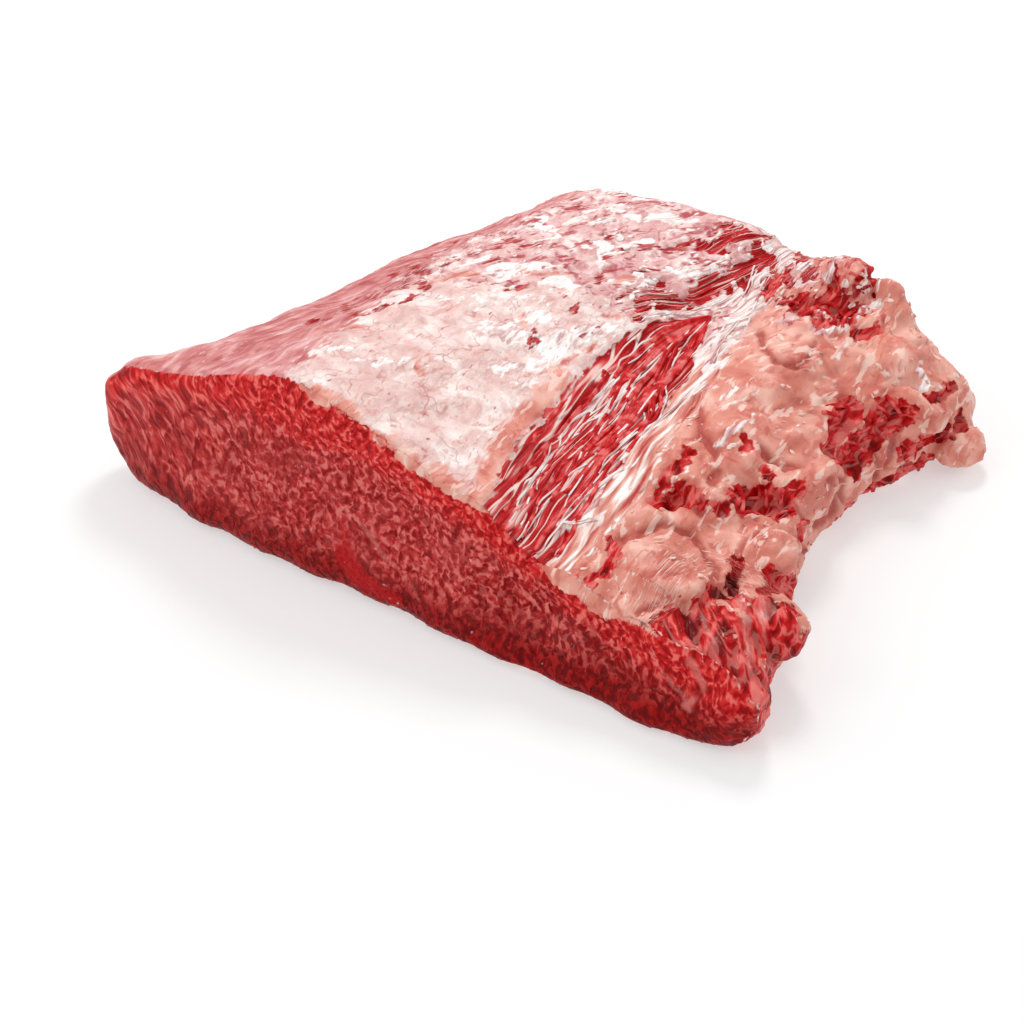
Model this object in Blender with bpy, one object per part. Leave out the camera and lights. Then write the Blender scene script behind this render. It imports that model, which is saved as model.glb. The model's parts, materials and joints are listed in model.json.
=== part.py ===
"""A raw half brisket, 300 mm across the cut face, as one closed solid.

The frame has +X along the cut face, +Y along the grain of the muscle and +Z up.
The piece lies on its lean side with the fat cap up.
"""

import math

import bpy
import bmesh
import numpy as np

MM = 0.001

# Driving sizes, in millimetres
CUT_WIDTH = 300.0
GRAIN_LENGTH = 238.0
NOSE_OVERHANG = 30.0

# The foot of the cut face swells forward, between these two X, below this share of the height
FOOT_BULGE, FOOT_BULGE_FROM, FOOT_BULGE_TO, FOOT_BULGE_SHARE = 12.0, (-10.0, 50.0), (350.0, 260.0), 0.77

# The middle of the base, which becomes the origin
BASE_CENTRE = (146.0, 114.0)

# The share of the length behind which the cut face has no say
FRONT_QUARTER = 0.25

# How many faces run across, along and up the piece
ACROSS, ALONG, UP = 54, 42, 12

# The top's height along X in three cuts through the piece: (x, height)
CUTS = (
    (0.0, ((-20, 53), (46, 67), (88, 82), (118, 77), (147, 68), (180, 60), (212, 50), (243, 39), (300, 33))),
    (115.0, ((18, 52), (60, 68), (88, 76), (130, 73), (165, 64), (195, 56), (232, 54), (252, 42), (275, 30))),
    (232.0, ((50, 54), (80, 69), (110, 75), (150, 77), (180, 77), (212, 68), (235, 60), (258, 48), (290, 22))),
)

# The outline seen from above: (y, x) of its left and right edges
LEFT_EDGE = ((0, -NOSE_OVERHANG), (30, -6), (63, 6), (105, 18), (150, 29), (200, 45), (238, 62))
RIGHT_EDGE = ((0, CUT_WIDTH), (40, 294), (80, 276), (119, 265), (160, 264), (195, 274), (238, 284))

# How far each edge is rounded: level across it, and as a share of the thickness above and below
ROUNDING = {
    "left": (34.0, 0.52, 0.44),
    "right": (16.0, 0.42, 0.34),
    "front": (7.0, 0.05, 0.16),
    "back": (22.0, 0.40, 0.34),
}
# The cut edge is crisp, but softens towards the nose and the far corner
NOSE_SOFTENING, CORNER_SOFTENING, SOFTENING_RUN = 15.0, 5.0, 0.10

# The furrows of bare muscle on top, which run with the grain: (y, middle x), width and depth
FURROW_LINE = ((0, 207), (32, 200), (66, 195), (106, 187), (146, 181), (180, 180), (235, 186))
FURROW_HALF_WIDTH = ((0, 22), (66, 20), (146, 15), (235, 9))
FURROW_DEPTH = 4.0
FACING_UP = (0.0, 0.5)
STRAND_RIDGES, STRAND_RIDGE_HEIGHT = 3.5, 1.6
STRANDS_FADE = (150.0, 70.0)

# Lumps of fat and lean that stand proud of the ragged side: centre, radii, height
LUMPS = (
    ((245, 29, 42), (21, 22, 15), 7.0),
    ((270, 70, 34), (16, 17, 17), 9.0),
    ((261, 122, 31), (12, 17, 15), 6.0),
    ((222, 158, 60), (26, 34, 22), 5.0),
    ((252, 214, 50), (18, 18, 16), 4.0),
    ((212, 226, 68), (18, 20, 22), 7.0),
    ((240, 224, 58), (11, 15, 18), 7.0),
    ((275, 199, 29), (10, 11, 10), 3.0),
    ((284, 218, 10), (12, 14, 12), 4.0),
    ((291, 46, 24), (14, 20, 18), 8.0),
    ((303, 3, 15), (24, 24, 22), 12.0),
)

# Pockets of bare muscle cut into the ragged side: centre, radii, depth
POCKETS = (
    ((232, 61, 48), (9, 12, 12), 6.0),
    ((251, 92, 42), (17, 10, 14), 9.0),
    ((257, 156, 32), (16, 25, 14), 6.0),
    ((274, 196, 13), (10, 15, 10), 5.0),
    ((272, 46, 38), (5, 11, 14), 6.0),
    ((226, 240, 58), (7, 16, 16), 8.0),
)

# Crags of the ragged side: where they set in, in X and in Y, their wavelength and height
CRAGS_FROM, CRAGS_BEHIND, CRAG_LENGTH, CRAG_HEIGHT = (226.0, 252.0), (4.0, 20.0), 17.0, 1.7

# Slow unevenness of the whole skin: wavelength and height
SWELL_LENGTH, SWELL_HEIGHT = 46.0, 1.3


def clear_scene():
    for thing in list(bpy.data.objects):
        bpy.data.objects.remove(thing, do_unlink=True)


def smooth(t):
    t = np.clip(t, 0, 1)
    return t * t * (3 - 2 * t)


def ramp(t, ends):
    """0 at the first end, 1 at the second."""
    return smooth((t - ends[0]) / (ends[1] - ends[0]))


def along(stations, t):
    """A smooth curve through a few stations (t, value)."""
    ts, values = np.array(stations, float).T
    slopes = np.gradient(values, ts)
    t = np.clip(t, ts[0], ts[-1])
    k = np.clip(np.searchsorted(ts, t) - 1, 0, len(ts) - 2)
    step = ts[k + 1] - ts[k]
    s = (t - ts[k]) / step
    return (
        values[k] * (1 + 2 * s) * (1 - s) ** 2
        + slopes[k] * step * s * (1 - s) ** 2
        + values[k + 1] * s * s * (3 - 2 * s)
        + slopes[k + 1] * step * s * s * (s - 1)
    )


def top_height(x, y):
    """Height of the smooth top, blended in y between the three cuts."""
    (y0, front), (y1, middle), (y2, back) = CUTS
    near = along(front, x) + (along(middle, x) - along(front, x)) * smooth((y - y0) / (y1 - y0))
    far = along(middle, x) + (along(back, x) - along(middle, x)) * smooth((y - y1) / (y2 - y1))
    return np.where(y < y1, near, far)


def block_grid():
    """The six faces of a unit block as (points, quads), one closed mesh."""
    counts = np.array((ACROSS, ALONG, UP))
    index, points, quads = {}, [], []

    def corner(cell):
        if cell not in index:
            index[cell] = len(points)
            points.append(np.array(cell) / counts)
        return index[cell]

    for axis in range(3):
        u, v = [k for k in range(3) if k != axis]
        for side in (0, 1):
            for i in range(counts[u]):
                for j in range(counts[v]):
                    ring = []
                    for di, dj in ((0, 0), (1, 0), (1, 1), (0, 1)):
                        cell = [0, 0, 0]
                        cell[axis], cell[u], cell[v] = side * counts[axis], i + di, j + dj
                        ring.append(corner(tuple(int(c) for c in cell)))
                    outward = (side == 1) != (axis == 1)
                    quads.append(ring if outward else ring[::-1])
    return np.array(points), quads


def rounded(points):
    """The unit block with its edges rounded, each by its own share."""
    a, b, c = points.T
    left, left_top, left_foot = ROUNDING["left"]
    right, right_top, right_foot = ROUNDING["right"]
    front, front_top, front_foot = ROUNDING["front"]
    back, back_top, back_foot = ROUNDING["back"]
    inset_a = np.where(a < 0.5, left, right) / CUT_WIDTH
    near_nose, near_corner = ramp(a, (SOFTENING_RUN, 0)), ramp(a, (1 - SOFTENING_RUN, 1))
    front = front + NOSE_SOFTENING * near_nose + CORNER_SOFTENING * near_corner
    inset_b = np.where(b < 0.5, front, back) / GRAIN_LENGTH
    inner_a = np.clip(a, inset_a, 1 - inset_a)
    inner_b = np.clip(b, inset_b, 1 - inset_b)
    da, db = (a - inner_a) / inset_a, (b - inner_b) / inset_b
    side_top = np.where(a < 0.5, left_top, right_top)
    side_foot = np.where(a < 0.5, left_foot, right_foot)
    end_top = np.where(b < 0.5, front_top, back_top)
    end_foot = np.where(b < 0.5, front_foot, back_foot)
    weight = (abs(da) + 1e-6) / (abs(da) + abs(db) + 2e-6)
    inset_top = side_top * weight + end_top * (1 - weight)
    inset_foot = side_foot * weight + end_foot * (1 - weight)
    inset_c = np.where(c < 0.5, inset_foot, inset_top)
    inner_c = np.clip(c, inset_foot, 1 - inset_top)
    dc = (c - inner_c) / inset_c
    length = np.sqrt(da * da + db * db + dc * dc)
    length = np.maximum(length, 1.0)
    return np.stack(
        (inner_a + da / length * inset_a, inner_b + db / length * inset_b, inner_c + dc / length * inset_c), 1
    )


def bent_to_shape(points):
    """The rounded block bent into the brisket's outline and thickness, in millimetres."""
    a, b, c = points.T
    y = b * GRAIN_LENGTH
    left, right = along(LEFT_EDGE, y), along(RIGHT_EDGE, y)
    x = left + a * (right - left)
    z = c * top_height(x, y)
    foot = FOOT_BULGE * ramp(x, FOOT_BULGE_FROM) * ramp(x, FOOT_BULGE_TO)
    y = y - foot * (1 - smooth(c / FOOT_BULGE_SHARE)) * (1 - smooth(b / FRONT_QUARTER))
    return np.stack((x, y, z), 1)


def bump(points, centre, radii):
    """1 at the centre of an ellipsoid, falling smoothly to 0 at its skin."""
    distance = (((points - np.array(centre)) / np.array(radii)) ** 2).sum(1)
    return np.clip(1 - distance, 0, 1) ** 2


def waves(points, length):
    """Uneven swells of one wavelength, between -1 and 1."""
    x, y, z = points.T * (2 * math.pi / length)
    bent_x = x + 1.3 * np.sin(0.6 * y) + 0.9 * np.sin(0.8 * z + 2)
    bent_y = 0.9 * y + 1.1 * np.sin(0.7 * z + 1) + 1.2 * np.sin(0.5 * x)
    return np.sin(bent_x) * np.sin(bent_y)


def relief(points, normals):
    """How far each point moves out along its normal, in millimetres."""
    x, y, z = points.T
    up = ramp(normals[:, 2], FACING_UP)
    across = (x - along(FURROW_LINE, y)) / along(FURROW_HALF_WIDTH, y)
    band = np.clip(1 - across**2, 0, 1) * up
    out = -FURROW_DEPTH * band
    strands = np.sqrt(band) * ramp(y, STRANDS_FADE)
    out += STRAND_RIDGE_HEIGHT * np.sin(across * STRAND_RIDGES * math.pi) * strands
    for centre, radii, height in LUMPS:
        out += height * bump(points, centre, radii)
    for centre, radii, depth in POCKETS:
        out -= depth * bump(points, centre, radii)
    out += SWELL_HEIGHT * waves(points, SWELL_LENGTH)
    ragged = ramp(x, CRAGS_FROM) * ramp(y, CRAGS_BEHIND)
    return out + CRAG_HEIGHT * ragged * waves(points, CRAG_LENGTH)


def build_brisket():
    base, quads = block_grid()
    points = bent_to_shape(rounded(base))
    mesh = bpy.data.meshes.new("brisket")
    mesh.from_pydata((points * MM).tolist(), [], quads)
    mesh.update()
    normals = np.array([v.normal[:] for v in mesh.vertices])
    lifted = points + normals * relief(points, normals)[:, None]
    # The underside stays flat where it lies on the surface
    underside = (base[:, 2] == 0) & (normals[:, 2] < -0.999)
    lifted[underside] = points[underside]
    lifted[:, 2] = np.maximum(lifted[:, 2], 0)
    lifted[:, :2] -= BASE_CENTRE
    mesh.vertices.foreach_set("co", (lifted * MM).ravel())
    mesh.update()
    return mesh


def merge_flat_underside(mesh):
    """Turns the flat part of the underside into one face, which saves thousands of triangles."""
    bm = bmesh.new()
    bm.from_mesh(mesh)
    flat = [f for f in bm.faces if all(v.co.z < 1e-7 for v in f.verts)]
    bmesh.ops.dissolve_faces(bm, faces=flat)
    bmesh.ops.recalc_face_normals(bm, faces=bm.faces)
    bm.to_mesh(mesh)
    bm.free()


def beef_material():
    material = bpy.data.materials.new("raw_beef")
    material.use_nodes = True
    shader = material.node_tree.nodes["Principled BSDF"]
    shader.inputs["Base Color"].default_value = (0.45, 0.06, 0.06, 1)
    shader.inputs["Roughness"].default_value = 0.35
    shader.inputs["Metallic"].default_value = 0.0
    return material


def main():
    clear_scene()
    mesh = build_brisket()
    merge_flat_underside(mesh)
    mesh.materials.append(beef_material())
    mesh.shade_smooth()
    brisket = bpy.data.objects.new("brisket", mesh)
    bpy.context.scene.collection.objects.link(brisket)


main()
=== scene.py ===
# %% [markdown]
# # Raw beef brisket
#
# This lesson dresses a imported CAD solid as a raw half brisket: a thick wedge of beef
# with one clean cut across the grain, a pale fat cap on top, a band of bare muscle
# strands, and a ragged side of soft fat and lean.
# The solid gives the size and the large forms. Everything here stays inside it.
# First the solid is loaded as a fixed frame, and its box is kept to hold the relief and the small pieces
# inside it.

import json
import math

import bmesh
import bpy
import numpy as np
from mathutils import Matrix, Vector, noise

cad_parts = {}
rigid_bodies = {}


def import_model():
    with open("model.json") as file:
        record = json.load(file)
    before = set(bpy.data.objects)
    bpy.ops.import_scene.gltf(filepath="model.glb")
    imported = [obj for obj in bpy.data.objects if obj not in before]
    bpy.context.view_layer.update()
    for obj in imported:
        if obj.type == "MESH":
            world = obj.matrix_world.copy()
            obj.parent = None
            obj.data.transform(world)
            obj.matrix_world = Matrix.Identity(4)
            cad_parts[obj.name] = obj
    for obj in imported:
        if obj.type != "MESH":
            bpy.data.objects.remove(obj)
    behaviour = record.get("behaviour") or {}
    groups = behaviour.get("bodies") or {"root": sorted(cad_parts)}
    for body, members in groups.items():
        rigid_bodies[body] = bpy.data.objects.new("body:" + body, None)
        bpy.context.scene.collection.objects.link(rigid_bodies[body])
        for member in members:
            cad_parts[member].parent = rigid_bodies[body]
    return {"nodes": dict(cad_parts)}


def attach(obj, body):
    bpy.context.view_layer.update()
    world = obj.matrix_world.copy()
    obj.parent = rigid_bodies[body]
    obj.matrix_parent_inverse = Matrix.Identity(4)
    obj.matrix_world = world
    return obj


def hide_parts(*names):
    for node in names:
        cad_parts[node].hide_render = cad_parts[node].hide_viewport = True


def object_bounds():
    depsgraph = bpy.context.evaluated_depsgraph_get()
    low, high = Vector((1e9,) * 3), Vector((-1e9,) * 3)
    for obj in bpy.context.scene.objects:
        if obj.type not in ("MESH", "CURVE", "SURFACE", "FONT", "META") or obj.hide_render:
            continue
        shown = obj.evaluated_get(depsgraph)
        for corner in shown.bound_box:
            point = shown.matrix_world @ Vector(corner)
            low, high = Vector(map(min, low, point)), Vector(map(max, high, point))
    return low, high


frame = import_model()
cad_box = [list(corner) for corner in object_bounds()]
print("CAD box in mm:", [[round(1000 * c, 1) for c in corner] for corner in cad_box])

# %% [markdown]
# ## Camera
#
# The photograph looks down at 35 degrees, from in front and to the right of the cut face.
# The camera is set first, because every later step is judged from it.

# %% Camera
def placed(name, data):
    """A new object in the scene."""
    thing = bpy.data.objects.new(name, data)
    bpy.context.scene.collection.objects.link(thing)
    return thing


VIEW_ELEVATION, VIEW_AZIMUTH = math.radians(35.0), math.radians(35.542)
VIEW_DISTANCE = 1.00875
AIM = Vector((0.0, -0.038873, 0.0))

towards_camera = Vector(
    (
        math.sin(VIEW_AZIMUTH) * math.cos(VIEW_ELEVATION),
        -math.cos(VIEW_AZIMUTH) * math.cos(VIEW_ELEVATION),
        math.sin(VIEW_ELEVATION),
    )
)
camera_data = bpy.data.cameras.new("camera")
camera_data.lens, camera_data.sensor_width = 85.0, 36.0
camera = placed("camera", camera_data)
camera.location = AIM + VIEW_DISTANCE * towards_camera
camera.rotation_euler = towards_camera.to_track_quat("Z", "Y").to_euler()
bpy.context.scene.camera = camera
print("camera at", [round(c, 3) for c in camera.location])

# %% [markdown]
# ## A body fine enough for meat
#
# The CAD solid has faces about 6 mm across, so strands and lobules of fat can't show on it.
# A voxel remesh of a merged copy gives an even skin of small squares, and a few passes of
# smoothing take away the facets. The CAD mesh itself is never changed.
# Before the remesh, soft lumps that overhang are joined in. The remesh fuses them with the
# body, so the whole piece stays one closed surface.

# %% Lengths and smooth steps
MM = 0.001
# The cut face's left end is the zero of all positions below, in mm: X along the cut, Y with the grain
ZERO = np.array((146.0, 114.0, 0.0))
VOXEL = 1.34


def smooth(t):
    t = np.clip(t, 0.0, 1.0)
    return t * t * (3 - 2 * t)


def ramp(t, start, end):
    """0 before start, 1 after end, and a smooth step between."""
    return smooth((t - start) / (end - start))


def along(stations, t):
    """The value at t on a line through (t, value) stations."""
    ts, values = np.array(stations, float).T
    return np.interp(t, ts, values)


def noise_at(points, size, seed, octaves=1):
    """Blender's noise at each point, from about -1 to 1, for lumps of this size in mm."""
    scaled = points / np.array(size, float) + seed * 7.31
    return np.array([noise.fractal(p, 0.8, 2.0, octaves) for p in scaled.tolist()])


print("a smooth step at a quarter, half and three quarters:", smooth(np.array((0.25, 0.5, 0.75))))


# %% Soft lumps that overhang the ragged side
# Centre and radii in mm, then a turn about Z in degrees
OVERHANGS = (
    ((246, 26, 37), (20, 15, 9), 20),
    ((268, 71, 33), (13, 14, 9), 0),
    ((258, 120, 34), (10, 17, 9), -10),
    ((243, 74, 45), (12, 6, 5), 35),
    ((250, 203, 50), (14, 9, 7), -20),
    ((262, 190, 38), (15, 6, 6), 10),
    ((282, 214, 10), (10, 13, 7), 0),
    ((236, 226, 62), (7, 6, 9), 0),
    ((217, 222, 68), (12, 9, 8), 15),
    ((294, 41, 24), (9, 11, 10), 0),
    ((300, 4, 18), (11, 10, 9), 0),
)


def with_overhangs(bm):
    for centre, radii, turn in OVERHANGS:
        made = bmesh.ops.create_icosphere(bm, subdivisions=4, radius=1.0)["verts"]
        angle = math.radians(turn)
        for v in made:
            x, y, z = (c * r for c, r in zip(v.co, radii))
            wobble = 1 + 0.16 * noise.noise(Vector((x, y, z)) / 6 + Vector(centre))
            turned = (x * math.cos(angle) - y * math.sin(angle), x * math.sin(angle) + y * math.cos(angle), z)
            v.co = (Vector(turned) * wobble + Vector(centre) - Vector(ZERO)) * MM


print("soft lumps to add:", len(OVERHANGS))


# %% Copy, merge and remesh
def plain_mesh(obj, name):
    """The object as its modifiers leave it, as a mesh with no modifiers."""
    graph = bpy.context.evaluated_depsgraph_get()
    mesh = bpy.data.meshes.new_from_object(obj.evaluated_get(graph))
    mesh.name = name
    return mesh


def remeshed_body():
    mesh = frame["nodes"]["brisket"].data.copy()
    bm = bmesh.new()
    bm.from_mesh(mesh)
    bmesh.ops.remove_doubles(bm, verts=bm.verts, dist=1e-5)
    with_overhangs(bm)
    bm.to_mesh(mesh)
    bm.free()
    rough = placed("rough", mesh)
    voxels = rough.modifiers.new("voxels", "REMESH")
    voxels.mode, voxels.voxel_size = "VOXEL", VOXEL * MM
    fine = plain_mesh(rough, "brisket_body")
    bpy.data.objects.remove(rough)
    return fine


body_mesh = remeshed_body()
print("remeshed:", len(body_mesh.vertices), "vertices")


# %% Even out the facets
def read(items, field, width=1, kind=float):
    """One field of every vertex, edge or face, as an array with a row for each."""
    flat = np.empty(len(items) * width, kind)
    items.foreach_get(field, flat)
    return flat.reshape(-1, width) if width > 1 else flat


def read_points(mesh):
    return read(mesh.vertices, "co", 3) / MM + ZERO


def write_points(mesh, points):
    mesh.vertices.foreach_set("co", ((points - ZERO) * MM).ravel())
    mesh.update()


def evened(values, edges, passes):
    """Each value pulled half way to the mean of its neighbours, several times."""
    a, b = edges.T
    rows = values.reshape(len(values), -1)
    neighbours = np.bincount(edges.ravel(), minlength=len(rows))[:, None]
    for _ in range(passes):
        sums = [np.bincount(a, part[b], len(rows)) + np.bincount(b, part[a], len(rows)) for part in rows.T]
        rows = (rows + np.stack(sums, 1) / neighbours) / 2
    return rows.reshape(values.shape)


edges = read(body_mesh.edges, "vertices", 2, np.int32)
points = read_points(body_mesh)
RESTING = 0.8
underside = points[:, 2] < RESTING
points = np.where(underside[:, None], points, evened(points, edges, 7))
points[underside, 2] = 0.0
write_points(body_mesh, points)
print("evened; box in mm", np.round(points.min(0) - ZERO, 1), np.round(points.max(0) - ZERO, 1))

# %% [markdown]
# ## Where each tissue lies
#
# A brisket shows several tissues, and each has its own relief and colour. Painting them by
# hand would do, but named lines are easier to change: each line below is a few stations in
# mm, read from the photograph through the fitted camera.
# Each tissue becomes a number from 0 to 1 on every point, with a ragged edge from noise.
# The relief uses it here, and the material reads it as an attribute.

# %% Lines between the tissues
def places(text):
    """Lists of numbers from a text with a comma between places."""
    return [[float(number) for number in place.split()] for place in text.split(",")]


# Each is (y, x): the crest above the flank, the band of bare strands, and the end of the sinew beside it
CREST = places("-20 90, 3 88, 30 83, 50 82, 75 78, 94 76, 120 70, 140 66, 190 80, 250 90")
BAND_LEFT = places(
    "-15 186, 6 184, 25 177, 42 173, 59 170, 90 166, 105 165, 121 164, 134 165, 144 167, 158 174, "
    "166 183, 172 190, 250 196"
)
BAND_RIGHT = places(
    "-15 214, 8 214, 31 210, 60 205, 80 203, 99 201, 117 196, 131 194, 149 189, 166 184, 172 180, 250 176"
)
SINEW_RIGHT = places("-15 216, 16 219, 42 218, 74 213, 109 206, 140 200, 165 201, 192 198, 205 190, 250 186")
# (x, y): where the smooth fat cap gives way to the mottled back
CAP_END = places("60 40, 72 84, 84 104, 106 116, 118 126, 130 135, 141 138, 156 138, 175 150")
# The cut face's top edge, as (x, z), and how thick the fat is that shows along it, as (x, mm)
CUT_TOP = places(
    "-24 40, -1 52, 42 66, 88 80, 115 77, 137 71, 158 65, 179 59, 195 52, 220 45, 242 38, 262 33, 300 30"
)
EDGE_FAT = places(
    "-24 -4, 88 -3, 100 -0.5, 118 0.5, 137 2, 150 2.5, 168 1.5, 180 0.5, 190 -1.5, 203 -0.5, 216 4.5, "
    "238 5, 250 1, 262 -3, 300 -6"
)

# How far the bright red goes down from that edge, as (x, mm)
BRIGHT_EDGE = places("-24 12, 10 8, 40 9, 75 17, 100 23, 125 17, 150 12, 190 11, 225 11, 262 14, 300 16")
print("stations along the two edges of the band:", len(BAND_LEFT), "and", len(BAND_RIGHT))

# %% Marks by name
def marks(table):
    """Marks from a table of rows, each a half width and the points of a line on the skin, in mm."""
    rows = table.replace(",\n", ", ").strip().splitlines()
    split = (row.split(":") for row in rows)
    return [(places(line), float(half)) for half, line in split]


# Torn muscle in the ragged side: crevices between the lobes of fat and the swollen corner. The last row runs
# low along the foot: its red is partly the meat's own red underside and partly painted contact shadow.
BARE_LEAN = marks("""
1.6: 223 87 54, 226 78 53, 224 70 52, 225 63 49, 229 54 47
3.9: 229 62 44, 233 67 47, 237 67 46
2.3: 241 68 45, 246 70 45, 247 79 44
6.2: 248 80 43, 247 93 35, 252 97 36, 258 96 36
3.0: 260 98 37, 260 103 39, 259 111 38
1.8: 247 104 45, 252 104 43
2.4: 268 100 29, 270 98 24
5.3: 258 141 37, 254 155 42, 254 164 46
7.0: 260 154 27, 261 167 31, 263 177 37
5.5: 263 174 33, 263 184 37, 266 187 36
3.8: 270 182 20, 273 188 21, 273 199 18, 275 208 18
2.4: 268 196 37, 272 207 35, 273 218 34
3.0: 277 217 21, 280 217 15
4.6: 264 169 6, 270 183 7, 275 202 4, 278 214 3
2.6: 264 55 36, 270 47 31
2.3: 257 17 37, 262 27 35, 265 32 35, 269 39 35, 276 37 34
4.4: 278 59 31, 277 75 20
2.6: 281 49 32, 281 67 22
4.0: 283 37 32, 285 44 33, 292 43 32
2.0: 229 25 47, 233 19 46, 234 13 43
1.8: 232 10 43, 232 3 41
1.6: 234 108 53, 238 105 51
1.8: 220 188 63, 228 194 61
1.8: 218 205 64, 221 211 64
2.2: 236 199 57, 241 207 57
1.2: 231 201 60, 230 205 61
1.2: 197 187 67, 198 195 70
2.2: 285 31 33, 291 28 29, 297 14 28
5.5: 294 38 30, 299 39 23, 297 36 14
7.0: 266 12 35, 276 12 35, 288 8 33, 300 4 28
4.0: 262 4 34, 274 2 34
5.0: 270 26 35, 284 24 34, 292 22 30
14.0: 302 -2 10, 306 12 12, 302 26 12
7.0: 288 38 32, 294 32 27, 298 30 18
9.0: 300 40 18, 303 30 12, 300 42 6
5.5: 264 150 4, 270 130 4, 268 100 4, 276 75 5, 290 55 5
""")
# Bare strands above the band, where it breaks up towards the back
UPPER_BAND = marks("""
1.4: 160 148 67, 160 156 69, 163 162 68
1.9: 166 156 66, 169 165 66, 173 168 65
3.4: 172 168 65, 174 175 66, 176 183 68, 179 190 69
1.9: 179 189 69, 179 198 70, 180 209 71
1.2: 180 209 71, 177 214 73, 175 216 75
1.7: 157 199 74, 160 204 75, 167 202 75, 166 210 77, 166 216 78
1.0: 171 210 76, 171 216 77
1.3: 175 216 75, 179 213 72, 185 211 70, 191 204 70, 196 197 70
""")
# White sinew: along the band, on the lobes of fat, and down the corner
SINEWS = marks("""
1.4: 203 37 50, 205 52 50, 208 65 52
1.8: 207 23 50, 212 28 48, 217 34 49
0.6: 193 45 51, 195 59 53
1.8: 201 70 51, 202 84 53, 200 97 53, 202 113 55, 203 131 55
1.5: 191 101 53, 190 113 54, 187 125 54, 187 138 56, 188 150 59
3.1: 200 140 57, 196 155 61, 196 167 63
4.2: 196 167 63, 193 180 66, 189 193 69, 184 205 69
1.2: 178 171 64, 182 177 64, 184 184 65
1.3: 164 142 66, 167 152 66, 175 163 63, 180 172 64
1.1: 230 98 53, 230 105 55, 232 114 55, 232 124 55
0.9: 220 121 56, 223 128 57, 226 135 59
0.9: 216 123 57, 218 130 58
0.8: 227 63 47, 227 69 51, 228 77 52, 232 74 51
1.6: 227 188 60, 231 197 60
1.2: 232 205 60, 231 214 61
1.2: 237 179 56, 235 190 56
1.7: 258 202 48, 262 205 46, 266 206 42, 267 198 38
0.9: 273 203 8, 278 212 7
1.2: 246 14 40, 246 17 42
""")
# White flakes of membrane on the back and the cap
WHITE_FLAKES = marks("""
2.4: 83 166 72, 94 169 75
3.0: 100 183 74, 102 186 74
1.9: 108 187 75, 116 192 76
3.8: 129 205 76, 137 209 75
1.6: 63 105 69, 68 108 71
5.5: 124 89 74, 135 93 72, 144 97 70
5.0: 147 97 69, 152 111 68, 157 127 67
3.6: 131 105 72, 136 112 72
1.8: 108 205 75, 114 203 77
2.6: 155 163 71, 156 166 71
1.5: 154 174 72, 168 182 72, 172 194 73
1.4: 107 99 77, 114 112 75, 130 121 74
2.6: 143 71 70, 151 88 67, 155 104 67
1.6: 151 67 68, 159 76 66
1.6: 162 85 65, 164 92 65
1.6: 87 26 81, 95 35 81
1.2: 103 32 79, 121 47 76
1.2: 97 92 77, 113 98 75
1.6: 196 214 72, 203 219 72
1.4: 205 203 69, 212 203 66
0.8: 180 150 60, 184 158 60
""")
# Short streaks where the membrane is torn and muscle shows
RED_STREAKS = marks("""
1.5: 88 146 75, 90 155 74, 96 152 76
0.8: 85 140 75, 91 145 76
0.6: 78 122 74, 82 127 75
0.6: 95 127 78, 98 134 77
0.9: 113 117 75, 116 123 74, 119 126 74
1.3: 145 165 74, 148 166 73, 152 172 73
1.0: 135 154 72, 139 149 72
1.0: 142 126 71, 141 130 72
1.6: 91 194 73, 96 201 73
1.0: 102 215 74, 106 217 74
1.0: 129 218 76, 135 219 76
1.3: 137 180 74, 142 187 74, 149 187 73
1.0: 130 166 74, 133 174 75
0.8: 147 187 73, 152 193 73
0.9: 165 186 73, 168 191 74
0.8: 138 102 72, 138 104 72
0.7: 141 92 70, 142 97 70
0.5: 154 112 68, 154 119 68, 154 125 68
0.9: 60 131 67, 58 141 65
0.8: 60 142 66, 61 152 66
1.2: 54 83 65, 62 75 70, 69 67 74, 79 62 78, 81 76 77, 86 81 78, 89 92 77
0.9: 53 87 65, 71 85 73, 72 98 73, 67 111 70
1.4: 76 94 75, 78 99 74, 80 103 74, 87 95 76
1.4: 63 119 70, 74 112 72
1.4: 52 59 67, 64 60 73
1.0: 67 93 72, 56 114 68
0.7: 116 152 76, 123 157 74
0.7: 98 149 76, 102 158 76
0.8: 133 189 76, 133 197 75
0.8: 123 176 77, 122 185 76
""")
# Peach fat and film on the cap, which never turns quite red
BLUSHES = marks("""
1.2: 111 133 76, 119 137 75, 126 146 74
2.0: 144 155 72, 148 159 73
1.2: 152 134 68, 157 141 66, 161 147 67
1.4: 127 107 73, 133 102 72
2.4: 84 103 75, 88 111 75, 96 118 77
1.0: 152 76 68, 156 84 67, 158 91 67, 158 106 66, 160 114 65
1.1: 68 49 74, 82 49 79, 88 57 78
1.4: 202 206 70, 207 214 71, 213 220 72, 219 220 70
1.2: 119 56 75, 119 48 76, 124 44 75
""")
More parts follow.
